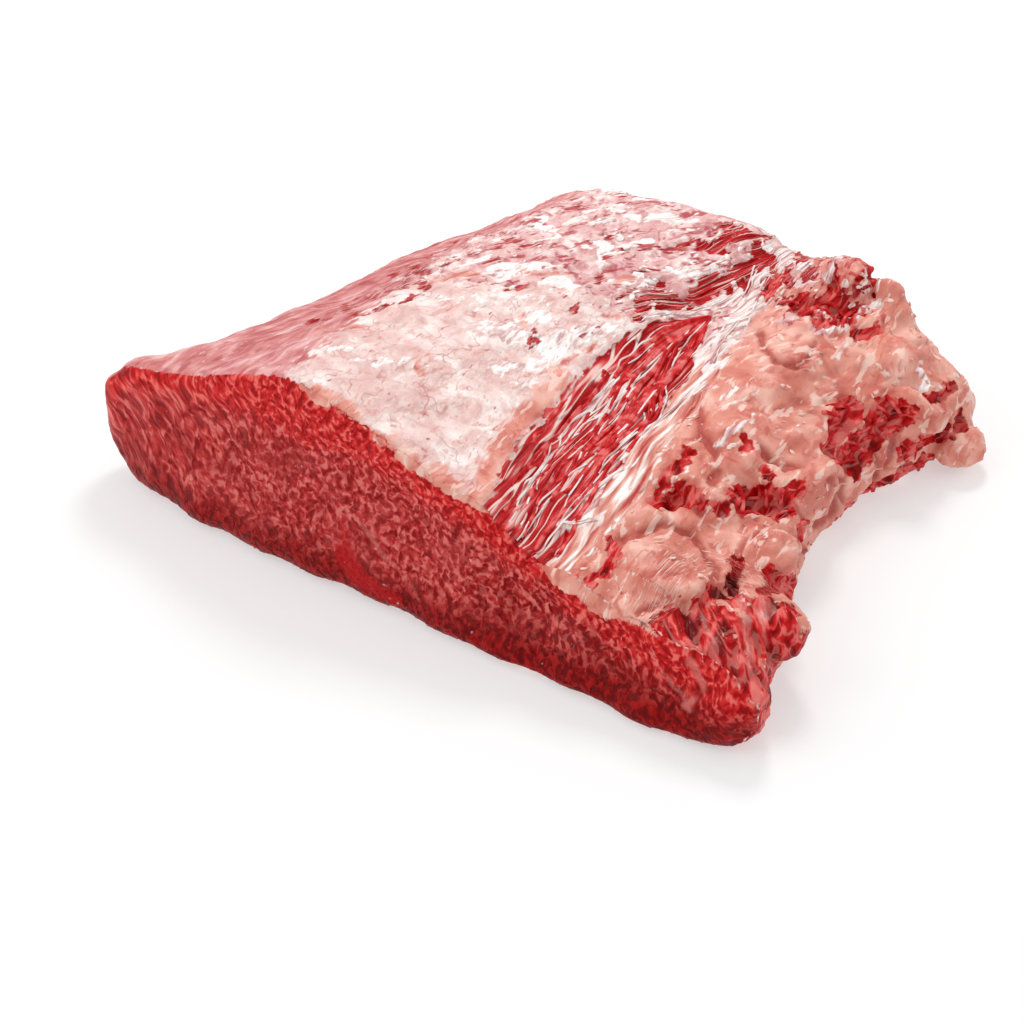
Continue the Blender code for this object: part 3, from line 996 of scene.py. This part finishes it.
def wet_surface(tree, colour, height, wet):
    """Soft translucent flesh under a thin film of water."""
    bump = add(tree, "ShaderNodeBump", {"Height": height, "Distance": 0.6 * MM, "Strength": 1.0})
    flesh = {
        "Base Color": colour, "Roughness": 0.45, "IOR": 1.36, "Specular IOR Level": 0.12 * wet,
        "Subsurface Weight": 0.10, "Subsurface Radius": (1.0, 0.30, 0.20), "Subsurface Scale": 1.5 * MM,
    }
    water = {"Coat Weight": 0.15 * wet, "Coat Roughness": 0.08, "Coat IOR": 1.33}
    shader = add(tree, "ShaderNodeBsdfPrincipled", {**flesh, **water, "Normal": bump, "Coat Normal": bump})
    add(tree, "ShaderNodeOutputMaterial", {"Surface": shader})


def wet_meat(names):
    """A material with these tissues laid over each other in order. A cut face drains, so it shines less."""
    wet = 0.2 if names == ["cut_face"] else 1.0
    material = bpy.data.materials.new("raw_beef_" + "_".join(names))
    material.use_nodes = True
    tree = material.node_tree
    tree.nodes.clear()
    place = add(tree, "ShaderNodeTexCoord", out="Object")
    grain = add(tree, "ShaderNodeAttribute", out="Vector", attribute_name="grain")
    fray = blotches(tree, grain, (2.2, 6, 3), 81)
    fray = add(tree, MATH, {0: fray, 1: 0.5}, operation="SUBTRACT")
    colour = height = None
    for name, recipe, fraying, soft in (layer for layer in LAYERS if layer[0] in names):
        over, bumps, depth = recipe(tree, place, grain)
        over_height = add(tree, MATH, {0: bumps, 1: depth, 2: -0.5 * depth}, operation="MULTIPLY_ADD")
        if colour is None:
            colour, height = over, over_height
            continue
        tissue_here = add(tree, "ShaderNodeAttribute", out="Fac", attribute_name=name)
        weight = add(tree, MATH, {0: fray, 1: 2 * fraying, 2: tissue_here}, operation="MULTIPLY_ADD")
        amount = add(tree, FIT, {0: weight, 1: 0.5 - soft, 2: 0.5 + soft}, **STEP)
        colour = covered(tree, colour, (amount, over))
        height = add(tree, MIX, {0: amount, 2: height, 3: over_height})
    fine = blotches(tree, place, (0.9, 0.9, 0.9), 91, detail=1.0)
    height = add(tree, MATH, {0: fine, 1: 0.3, 2: height}, operation="MULTIPLY_ADD")
    wet_surface(tree, colour, height, wet)
    return material


print("layers from the lowest up:", ", ".join(layer[0] for layer in LAYERS))


# %% Which tissues can show on each face
MOST_MATERIALS = 16
corner_vertex = read(body_mesh.loops, "vertex_index", kind=np.int32)
starts = read(body_mesh.polygons, "loop_start", kind=np.int32)
on_face = []
hidden = np.zeros(len(starts), bool)
for name, _, fraying, soft in reversed(LAYERS):
    if name == "fat_cap":
        on_face.append(~hidden)
        continue
    at_corner = read(body_mesh.attributes[name].data, "value", kind=np.float32)[corner_vertex]
    least, most = np.minimum.reduceat(at_corner, starts), np.maximum.reduceat(at_corner, starts)
    # Noise of three octaves stays within 0.25 of its middle
    on_face.append(~hidden & (most + 0.5 * fraying > 0.5 - soft))
    hidden |= least - 0.5 * fraying > 0.5 + soft
sets = sum(shown.astype(np.int64) << k for k, shown in enumerate(reversed(on_face)))
common, counts = np.unique(sets, return_counts=True)
everything = (1 << len(LAYERS)) - 1
kept = [int(s) for s in common[np.argsort(-counts)][: MOST_MATERIALS - 1]] + [everything]


def smallest_that_holds(wanted):
    return min((k for k in kept if k & wanted == wanted), key=lambda k: bin(k).count("1"))


home = {int(s): kept.index(smallest_that_holds(int(s))) for s in common}
body_mesh.materials.clear()
for k in kept:
    body_mesh.materials.append(wet_meat([layer[0] for j, layer in enumerate(LAYERS) if k >> j & 1]))
body_mesh.polygons.foreach_set("material_index", np.array([home[int(s)] for s in sets], np.int32))
for material, k in zip(body_mesh.materials, kept):
    share = np.mean([kept[home[int(s)]] == k for s in sets])
    print(f"{share:6.1%} of the faces: {material.name}")

# %% [markdown]
# ## Strands and flakes that follow the skin
#
# On real brisket the membrane tears into loose white strands, and muscle into short shreds.
# They could be sculpted one by one. Geometry nodes are quicker and tidier: one tree lays
# drawn lines on the skin as flat strands, and another scatters small shapes where an
# attribute says their tissue is. Both take their sizes as named inputs.
# Each result is turned into a plain mesh, so that nothing later depends on the nodes.

# %% Trees with named inputs
MADE_OF, FLOATS, VECTORS = "NodeSocketMaterial", "NodeSocketFloat", "NodeSocketVector"


def tree_with_inputs(name, sockets):
    """A node tree that takes and gives geometry, and the outputs of its input node by name."""
    tree = bpy.data.node_groups.new(name, "GeometryNodeTree")
    for label, kind in {"Geometry": "NodeSocketGeometry", **sockets}.items():
        tree.interface.new_socket(label, in_out="INPUT", socket_type=kind)
    tree.interface.new_socket("Geometry", in_out="OUTPUT", socket_type="NodeSocketGeometry")
    return tree, add(tree, "NodeGroupInput").node.outputs


def finish_tree(tree, geometry, material):
    """Smooth, real and coloured: the same end for every tree."""
    smooth_faces = add(tree, "GeometryNodeSetShadeSmooth", {"Geometry": geometry})
    real = add(tree, "GeometryNodeRealizeInstances", {"Geometry": smooth_faces})
    coloured = add(tree, "GeometryNodeSetMaterial", {"Geometry": real, "Material": material})
    add(tree, "NodeGroupOutput", {"Geometry": coloured})


def jitter(tree, size, amount):
    """A vector that wanders by up to amount, in blotches of size mm."""
    here = add(tree, "GeometryNodeInputPosition")
    blotched = {"Vector": here, "Scale": 1000 / size, "Detail": 1.0}
    noise_here = add(tree, "ShaderNodeTexNoise", blotched, out="Color")
    centred = add(tree, VECTOR_MATH, {0: noise_here, 1: (0.5, 0.5, 0.5)}, operation="SUBTRACT")
    return add(tree, VECTOR_MATH, {0: centred, "Scale": amount}, operation="SCALE")


def strand_tree():
    """Lays curves on the skin and gives them a flat oval section that tapers to both ends."""
    tree, given = tree_with_inputs(
        "strands_on_the_skin",
        {"Skin": "NodeSocketObject", "Step": FLOATS, "Width": FLOATS, "Thickness": FLOATS, "Rise": FLOATS,
         "Wander": FLOATS, "Material": MADE_OF},
    )
    skin = add(tree, "GeometryNodeObjectInfo", {"Object": given["Skin"]}, out="Geometry")
    steps = {"Curve": given["Geometry"], "Length": given["Step"]}
    curve = add(tree, "GeometryNodeResampleCurve", steps, mode="LENGTH")
    wander = jitter(tree, 9, given["Wander"])
    moved = add(tree, "GeometryNodeSetPosition", {"Geometry": curve, "Offset": wander})
    on_skin = add(tree, "GeometryNodeProximity", {0: skin}, target_element="FACES")
    across = {"Mesh": skin, "Value": add(tree, "GeometryNodeInputNormal")}
    facing = add(tree, "GeometryNodeSampleNearestSurface", across, data_type="FLOAT_VECTOR")
    rise = add(tree, VECTOR_MATH, {0: facing, "Scale": given["Rise"]}, operation="SCALE")
    laid = add(tree, "GeometryNodeSetPosition", {"Geometry": moved, "Position": on_skin, "Offset": rise})
    here = add(tree, "GeometryNodeInputPosition")
    eased = add(tree, "GeometryNodeBlurAttribute", {"Value": here, "Iterations": 3}, data_type="FLOAT_VECTOR")
    taut = add(tree, "GeometryNodeSetPosition", {"Geometry": laid, "Position": eased})
    upright = add(tree, "GeometryNodeSetCurveNormal", {"Curve": taut, "Normal": facing}, mode="FREE")
    place = add(tree, "GeometryNodeSplineParameter", out="Factor")
    left = add(tree, MATH, {0: 1.0, 1: place}, operation="SUBTRACT")
    arch = add(tree, MATH, {0: place, 1: left}, operation="MULTIPLY")
    arch = add(tree, MATH, {0: arch, 1: 0.5}, operation="POWER")
    full = add(tree, MATH, {0: arch, 1: 1.8, 2: 0.12}, operation="MULTIPLY_ADD")
    tapered = add(tree, "GeometryNodeSetCurveRadius", {"Curve": upright, "Radius": full})
    circle = add(tree, "GeometryNodeCurvePrimitiveCircle", {"Resolution": 6, "Radius": 1.0})
    section = add(tree, "ShaderNodeCombineXYZ", {"X": given["Thickness"], "Y": given["Width"], "Z": 1.0})
    oval = add(tree, "GeometryNodeTransform", {"Geometry": circle, "Scale": section})
    swept = add(tree, "GeometryNodeCurveToMesh", {"Curve": tapered, "Profile Curve": oval, "Fill Caps": True})
    finish_tree(tree, swept, given["Material"])
    return tree


def scatter_tree(shape):
    """Scatters a small shape where the named tissue is, turned along the grain with some disorder."""
    tree, given = tree_with_inputs(
        "scattered_on_" + shape,
        {"Tissue": "NodeSocketString", "From": FLOATS, "Spacing": FLOATS, "Seed": "NodeSocketInt",
         "Along": VECTORS, "Size": VECTORS, "Raggedness": FLOATS, "Material": MADE_OF},
    )
    share = add(tree, "GeometryNodeInputNamedAttribute", {"Name": given["Tissue"]}, data_type="FLOAT")
    wanted = add(tree, MATH, {0: share, 1: given["From"]}, operation="GREATER_THAN")
    evenly = {"Mesh": given["Geometry"], "Distance Min": given["Spacing"], "Density Max": 200000.0,
              "Density Factor": wanted, "Seed": given["Seed"]}
    spots = add(tree, "GeometryNodeDistributePointsOnFaces", evenly, distribute_method="POISSON")
    way = add(tree, VECTOR_MATH, {0: given["Along"], 1: jitter(tree, 14, 5.0)}, operation="ADD")
    upright = {"Rotation": spots.node.outputs["Rotation"], "Vector": way}
    turned = add(tree, "FunctionNodeAlignRotationToVector", upright, axis="X", pivot_axis="Z")
    if shape == "flake":
        ball = add(tree, "GeometryNodeMeshUVSphere", {"Segments": 8, "Rings": 5, "Radius": 0.5})
        small = add(tree, "GeometryNodeTransform", {"Geometry": ball, "Scale": given["Size"]})
    else:
        arc = {"Resolution": 5, "Start": (-0.5, 0, -0.2), "Middle": (0, 0.25, 0.5), "End": (0.5, -0.1, -0.2)}
        bow = add(tree, "GeometryNodeCurveQuadraticBezier", arc)
        scaled = add(tree, "GeometryNodeTransform", {"Geometry": bow, "Scale": given["Size"]})
        section = add(tree, "GeometryNodeCurvePrimitiveCircle", {"Resolution": 5, "Radius": 0.8 * MM})
        swept = {"Curve": scaled, "Profile Curve": section, "Fill Caps": True}
        small = add(tree, "GeometryNodeCurveToMesh", swept)
    sizes = add(tree, "FunctionNodeRandomValue", {"Min": 0.55, "Max": 1.5, "Seed": given["Seed"]}, out=1)
    copies = {"Points": spots, "Instance": small, "Rotation": turned, "Scale": sizes}
    instances = add(tree, "GeometryNodeInstanceOnPoints", copies)
    real = add(tree, "GeometryNodeRealizeInstances", {"Geometry": instances})
    ragged_offset = jitter(tree, 2.6, given["Raggedness"])
    worn = add(tree, "GeometryNodeSetPosition", {"Geometry": real, "Offset": ragged_offset})
    finish_tree(tree, worn, given["Material"])
    return tree


def made_by(tree, name, source, values):
    """Runs a tree on a helper object and keeps what it makes as a plain mesh object."""
    modifier = source.modifiers.new(name, "NODES")
    modifier.node_group = tree
    for item in tree.interface.items_tree:
        if item.in_out == "INPUT" and item.name in values:
            modifier[item.identifier] = values[item.name]
    bpy.context.scene.collection.objects.link(source)
    mesh = plain_mesh(source, name)
    bpy.data.objects.remove(source)
    write_points(mesh, in_cad_box(read_points(mesh)))
    piece = placed(name, mesh)
    mesh.calc_loop_triangles()
    print(f"{name}: {len(mesh.loop_triangles)} triangles")
    return piece


# %% Lines to lay on the skin
# The height of the skin along the band, as (y, z), only says where to start looking for it
BAND_HEIGHT = ((-15, 46), (30, 50), (75, 52), (110, 56), (150, 61), (200, 70))


def band_lines(count, seed, longest, furthest):
    """Seeded lines along the band: each keeps its place across the grain and bends with it."""
    rng = np.random.default_rng(seed)
    lines = []
    for _ in range(count):
        start, length = rng.uniform(2, furthest), rng.uniform(0.35, 1.0) * longest
        ys = np.arange(start, min(start + length, 168), 3.0)
        if len(ys) < 4:
            continue
        share = rng.uniform(0.02, 0.98) + 0.05 * np.sin(ys / rng.uniform(9, 18) + rng.uniform(0, 6))
        left, right = along(BAND_LEFT, ys), along(BAND_RIGHT, ys)
        lines.append(np.stack((left + share * (right - left), ys, along(BAND_HEIGHT, ys)), 1))
    return lines


def curves_from(name, lines):
    data = bpy.data.curves.new(name, "CURVE")
    data.dimensions = "3D"
    for line in lines:
        spline = data.splines.new("POLY")
        spline.points.add(len(line) - 1)
        spots = (np.array(line, float) - ZERO) * MM
        spline.points.foreach_set("co", np.column_stack((spots, np.ones(len(spots)))).ravel())
    return bpy.data.objects.new(name, data)


def doubled(marks, seed):
    """Each drawn mark as two or more strands side by side, as wide as the mark."""
    rng = np.random.default_rng(seed)
    lines = []
    for line, half in marks:
        for _ in range(1 + round(half * 0.7)):
            aside = rng.uniform(-1, 1, 3) * half * (1, 0.4, 0.4)
            first = rng.integers(0, max(1, len(line) - 2))
            lines.append(np.array(line[first:], float) + aside)
    return lines


# %% [markdown]
# ## What the strands and flakes are made of
#
# Membrane is wet collagen, nearly white; torn muscle is red and glossy; fat flakes are
# peach to cream. All three reuse the tissue recipes above with the same wet surface.

# %% Their materials and the pieces
def thing_of(name, recipe):
    """One tissue alone as a material, for small pieces."""
    material = bpy.data.materials.new(name)
    material.use_nodes = True
    tree = material.node_tree
    tree.nodes.clear()
    place = add(tree, "ShaderNodeTexCoord", out="Object")
    colour, bumps, depth = recipe(tree, place, place)
    height = add(tree, MATH, {0: bumps, 1: depth}, operation="MULTIPLY")
    wet_surface(tree, colour, height, 1.0)
    return material


membrane = thing_of("wet_membrane", sinew)
muscle = thing_of("torn_muscle", loose_muscle)
fat = thing_of("soft_fat", loose_fat)
laying = strand_tree()
scatter_flakes, scatter_shreds = scatter_tree("flake"), scatter_tree("shred")

# Name, lines, then step, width, thickness, rise and wander in mm, and what they are made of
white_lines = band_lines(38, 5, 85, 85) + doubled(SINEWS[:9], 6)
STRANDS = (
    ("white_strands", white_lines, (1.6, 0.45, 0.26, 0.30, 1.2), membrane),
    ("red_strands", band_lines(42, 7, 80, 140), (2.0, 1.05, 0.75, 0.0, 1.5), muscle),
)
# Name, tree, tissue, spacing in mm, seed, direction, size and raggedness in mm, and what they are made of
SCATTERED = (
    ("lean_shreds", scatter_shreds, "shred_spots", 5.6, 3, (0.2, 1.0, -0.6), (9.5, 5, 2.2), 1.2, muscle),
    ("membrane_flakes", scatter_flakes, "flake_spots", 4.5, 8, (0.5, 1, 0), (3.4, 2.1, 0.55), 1.6, membrane),
    ("fat_flakes", scatter_flakes, "fat_spots", 5.0, 9, (0.1, 1.0, -0.4), (4.6, 1.7, 0.5), 2.6, fat),
)
pieces = [body]
for name, lines, sizes, material in STRANDS:
    lengths = dict(zip(("Step", "Width", "Thickness", "Rise", "Wander"), (size * MM for size in sizes)))
    values = {"Skin": body, **lengths, "Material": material}
    pieces.append(made_by(laying, name, curves_from(name + "_lines", lines), values))
for name, tree, where, spacing, seed, direction, size, raggedness, material in SCATTERED:
    values = {"Tissue": where, "From": 0.5, "Spacing": spacing * MM, "Seed": seed, "Along": direction,
              "Size": tuple(side * MM for side in size), "Raggedness": raggedness * MM, "Material": material}
    pieces.append(made_by(tree, name, bpy.data.objects.new(name + "_ground", body_mesh), values))

# %% [markdown]
# ## Floor and light
#
# The photograph was made on a white sweep under soft light from above and behind.
# A pale floor, an even white sky and two large soft lamps give the same soft shadow and the
# small sharp glints on the wet fat.

# %% Floor, sky and lamps
def lit_table():
    """White acrylic lit from below, which keeps shadows light and clean."""
    material = bpy.data.materials.new("lit_white_acrylic")
    material.use_nodes = True
    shader = material.node_tree.nodes["Principled BSDF"]
    looks = {"Base Color": linear("#BEBEBE"), "Roughness": 0.9, "Specular IOR Level": 0.1,
             "Emission Color": linear("#FFFFFF"), "Emission Strength": 0.45}
    for name, value in looks.items():
        shader.inputs[name].default_value = value
    return material


floor_mesh = bpy.data.meshes.new("floor")
floor_mesh.from_pydata([(-6, -6, 0), (6, -6, 0), (6, 6, 0), (-6, 6, 0)], [], [(0, 1, 2, 3)])
floor_mesh.materials.append(lit_table())
floor = placed("floor", floor_mesh)

SKY_STRENGTH = 0.75
world = bpy.data.worlds.new("white_sky")
world.use_nodes = True
sky = world.node_tree.nodes["Background"]
sky.inputs["Color"].default_value = linear("#FFFFFF")
sky.inputs["Strength"].default_value = SKY_STRENGTH
bpy.context.scene.world = world

# Name, place in metres, width of the square lamp in metres, watts
LAMPS = (
    ("softbox_behind", (-0.35, 0.75, 1.15), 0.35, 8.0),
    ("softbox_front", (-0.75, -1.0, 1.0), 0.9, 5.0),
)
for name, spot, width, watts in LAMPS:
    lamp = bpy.data.lights.new(name, "AREA")
    lamp.shape, lamp.size, lamp.energy = "SQUARE", width, watts
    softbox = placed(name, lamp)
    softbox.location = spot
    softbox.rotation_euler = Vector(spot).to_track_quat("Z", "Y").to_euler()
bpy.context.scene.view_settings.view_transform = "Standard"
print("lamps:", [lamp[0] for lamp in LAMPS])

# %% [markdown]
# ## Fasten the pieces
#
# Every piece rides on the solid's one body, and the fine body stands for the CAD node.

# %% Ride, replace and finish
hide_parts("brisket")
for piece in pieces:
    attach(piece, "root")
